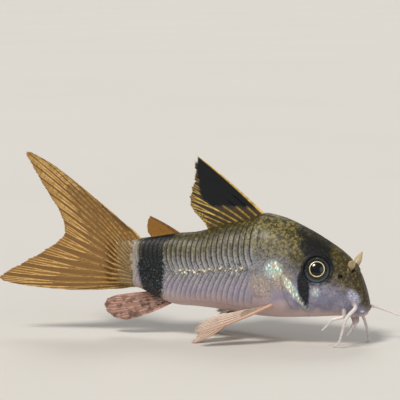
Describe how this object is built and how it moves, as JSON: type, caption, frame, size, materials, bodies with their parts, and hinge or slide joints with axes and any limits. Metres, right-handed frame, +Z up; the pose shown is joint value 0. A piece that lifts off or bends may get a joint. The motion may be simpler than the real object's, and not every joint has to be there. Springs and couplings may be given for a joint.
{
  "type": "panda corydoras catfish model",
  "caption": "Life-size still model of a small armoured catfish, propped on its pelvic fins and feelers with its tail cocked up.",
  "frame": {"origin": "centre of the box's underside, on the floor that the fish rests on", "axes": "+X from tail to nose, +Y to the fish's left side, +Z up"},
  "size_m": [0.0624, 0.0182, 0.0286],
  "materials": {
    "mottled_skin": "moist skin, olive-brown with gold specks and a black eye mask",
    "plated_skin": "satin bony plates, silver-lilac with dark rims and a black band at the tail stalk",
    "eye": "wet gloss, black pupil in a thin gold ring",
    "fin_membrane": "thin amber membrane between ribbed rays, black blotch on the dorsal fin",
    "pale_fin": "thin pale membrane between ribbed rays",
    "feeler": "soft pale skin"
  },
  "bodies": {
    "root": {"head": "mottled_skin", "trunk": "plated_skin", "tail_stalk": "plated_skin", "eye_l": "eye", "eye_r": "eye", "dorsal_fin": "fin_membrane", "adipose_fin": "fin_membrane", "anal_fin": "fin_membrane", "caudal_fin": "fin_membrane", "pectoral_fin_l": "pale_fin", "pectoral_fin_r": "pale_fin", "pelvic_fin_l": "pale_fin", "pelvic_fin_r": "pale_fin", "barbel_upper_r": "feeler", "barbel_lower_r": "feeler", "barbel_upper_l": "feeler", "barbel_lower_l": "feeler", "barbel_chin_r": "feeler", "barbel_chin_l": "feeler", "nostril_flap_l": "mottled_skin", "nostril_flap_r": "mottled_skin"}
  },
  "joints": []
}
